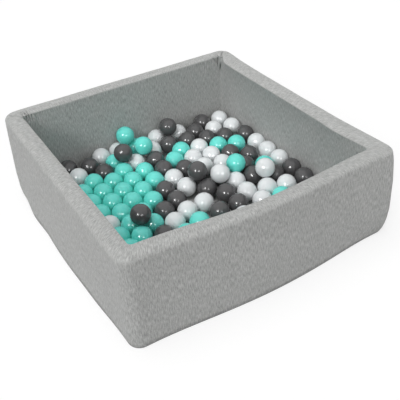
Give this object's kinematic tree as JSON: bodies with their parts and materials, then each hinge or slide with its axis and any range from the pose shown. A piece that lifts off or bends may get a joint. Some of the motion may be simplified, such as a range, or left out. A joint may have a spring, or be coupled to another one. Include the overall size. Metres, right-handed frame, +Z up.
{
  "type": "ball pit",
  "caption": "Square foam ball pit with a grey jersey cover, a padded floor and a layer of white, grey and mint play balls.",
  "frame": {"origin": "under the middle of the pit's straight outline, on the surface that it stands on", "axes": "+Z up; -Y out of the front right wall and -X out of the front left wall of the picture"},
  "size_m": [0.917, 0.9317, 0.3],
  "materials": {
    "jersey": "grey melange knitted jersey",
    "foam": "pale open cell foam, hidden under the cover",
    "bottom_cloth": "plain woven cloth",
    "zip_tape": "woven tape",
    "zip_coil": "nylon coil",
    "zip_metal": "satin zinc",
    "ball_white": "glossy blow-moulded plastic",
    "ball_grey": "glossy blow-moulded plastic",
    "ball_mint": "glossy blow-moulded plastic"
  },
  "bodies": {
    "pit": {"bottom_cloth": "bottom_cloth", "floor_mat": "foam", "floor_cover": "jersey", "foam_wall_front_right": "foam", "foam_wall_back_right": "foam", "foam_wall_back_left": "foam", "foam_wall_front_left": "foam", "wall_cover": "jersey", "zip_tape_lower": "zip_tape", "zip_tape_upper": "zip_tape", "zip_coil": "zip_coil", "zip_stop_left": "zip_metal", "zip_stop_right": "zip_metal"},
    "slider": {"zip_slider": "zip_metal"},
    "pull": {"zip_pull": "zip_metal"},
    "ball_bed": {"ball_string_01": "ball_mint", "ball_string_02": "ball_mint", "ball_string_03": "ball_mint", "ball_string_04": "ball_mint", "ball_string_05": "ball_mint", "ball_string_06": "ball_grey", "ball_string_07": "ball_grey", "ball_string_08": "ball_white", "ball_string_09": "ball_grey", "ball_string_10": "ball_white", "ball_string_11": "ball_grey", "ball_string_12": "ball_grey", "ball_string_13": "ball_white"},
    "white_01": {"ball_white_01": "ball_white"},
    "white_02": {"ball_white_02": "ball_white"},
    "white_03": {"ball_white_03": "ball_white"},
    "white_04": {"ball_white_04": "ball_white"},
    "white_05": {"ball_white_05": "ball_white"},
    "white_06": {"ball_white_06": "ball_white"},
    "white_07": {"ball_white_07": "ball_white"},
    "white_08": {"ball_white_08": "ball_white"},
    "grey_01": {"ball_grey_01": "ball_grey"},
    "grey_02": {"ball_grey_02": "ball_grey"},
    "grey_03": {"ball_grey_03": "ball_grey"},
    "grey_04": {"ball_grey_04": "ball_grey"},
    "grey_05": {"ball_grey_05": "ball_grey"},
    "grey_06": {"ball_grey_06": "ball_grey"},
    "grey_07": {"ball_grey_07": "ball_grey"},
    "grey_08": {"ball_grey_08": "ball_grey"},
    "mint_01": {"ball_mint_01": "ball_mint"},
    "mint_02": {"ball_mint_02": "ball_mint"},
    "mint_03": {"ball_mint_03": "ball_mint"},
    "mint_04": {"ball_mint_04": "ball_mint"}
  },
  "joints": [
    {"name": "zip_slide", "type": "slide", "parent": "pit", "child": "slider", "axis": [-1, 0, 0], "range_m": [0, 0.678]},
    {"name": "zip_pull_hinge", "type": "hinge", "parent": "slider", "child": "pull", "pos_m": [0.3391, 0.4565, 0.02], "axis": [0, 0, -1], "range_deg": [0, 180]},
    {"name": "ball_bed_lift", "type": "slide", "parent": "pit", "child": "ball_bed", "axis": [0, 0, 1], "range_m": [0, 0.286]},
    {"name": "white_01_lift", "type": "slide", "parent": "ball_bed", "child": "white_01", "axis": [0, 0, 1], "range_m": [0, 0.286]},
    {"name": "white_02_lift", "type": "slide", "parent": "ball_bed", "child": "white_02", "axis": [0, 0, 1], "range_m": [0, 0.286]},
    {"name": "white_03_lift", "type": "slide", "parent": "ball_bed", "child": "white_03", "axis": [0, 0, 1], "range_m": [0, 0.286]},
    {"name": "white_04_lift", "type": "slide", "parent": "ball_bed", "child": "white_04", "axis": [0, 0, 1], "range_m": [0, 0.286]},
    {"name": "white_05_lift", "type": "slide", "parent": "ball_bed", "child": "white_05", "axis": [0, 0, 1], "range_m": [0, 0.286]},
    {"name": "white_06_lift", "type": "slide", "parent": "ball_bed", "child": "white_06", "axis": [0, 0, 1], "range_m": [0, 0.286]},
    {"name": "white_07_lift", "type": "slide", "parent": "ball_bed", "child": "white_07", "axis": [0, 0, 1], "range_m": [0, 0.286]},
    {"name": "white_08_lift", "type": "slide", "parent": "ball_bed", "child": "white_08", "axis": [0, 0, 1], "range_m": [0, 0.286]},
    {"name": "grey_01_lift", "type": "slide", "parent": "ball_bed", "child": "grey_01", "axis": [0, 0, 1], "range_m": [0, 0.286]},
    {"name": "grey_02_lift", "type": "slide", "parent": "ball_bed", "child": "grey_02", "axis": [0, 0, 1], "range_m": [0, 0.286]},
    {"name": "grey_03_lift", "type": "slide", "parent": "ball_bed", "child": "grey_03", "axis": [0, 0, 1], "range_m": [0, 0.286]},
    {"name": "grey_04_lift", "type": "slide", "parent": "ball_bed", "child": "grey_04", "axis": [0, 0, 1], "range_m": [0, 0.286]},
    {"name": "grey_05_lift", "type": "slide", "parent": "ball_bed", "child": "grey_05", "axis": [0, 0, 1], "range_m": [0, 0.286]},
    {"name": "grey_06_lift", "type": "slide", "parent": "ball_bed", "child": "grey_06", "axis": [0, 0, 1], "range_m": [0, 0.286]},
    {"name": "grey_07_lift", "type": "slide", "parent": "ball_bed", "child": "grey_07", "axis": [0, 0, 1], "range_m": [0, 0.286]},
    {"name": "grey_08_lift", "type": "slide", "parent": "ball_bed", "child": "grey_08", "axis": [0, 0, 1], "range_m": [0, 0.286]},
    {"name": "mint_01_lift", "type": "slide", "parent": "ball_bed", "child": "mint_01", "axis": [0, 0, 1], "range_m": [0, 0.286]},
    {"name": "mint_02_lift", "type": "slide", "parent": "ball_bed", "child": "mint_02", "axis": [0, 0, 1], "range_m": [0, 0.286]},
    {"name": "mint_03_lift", "type": "slide", "parent": "ball_bed", "child": "mint_03", "axis": [0, 0, 1], "range_m": [0, 0.286]},
    {"name": "mint_04_lift", "type": "slide", "parent": "ball_bed", "child": "mint_04", "axis": [0, 0, 1], "range_m": [0, 0.286]}
  ]
}
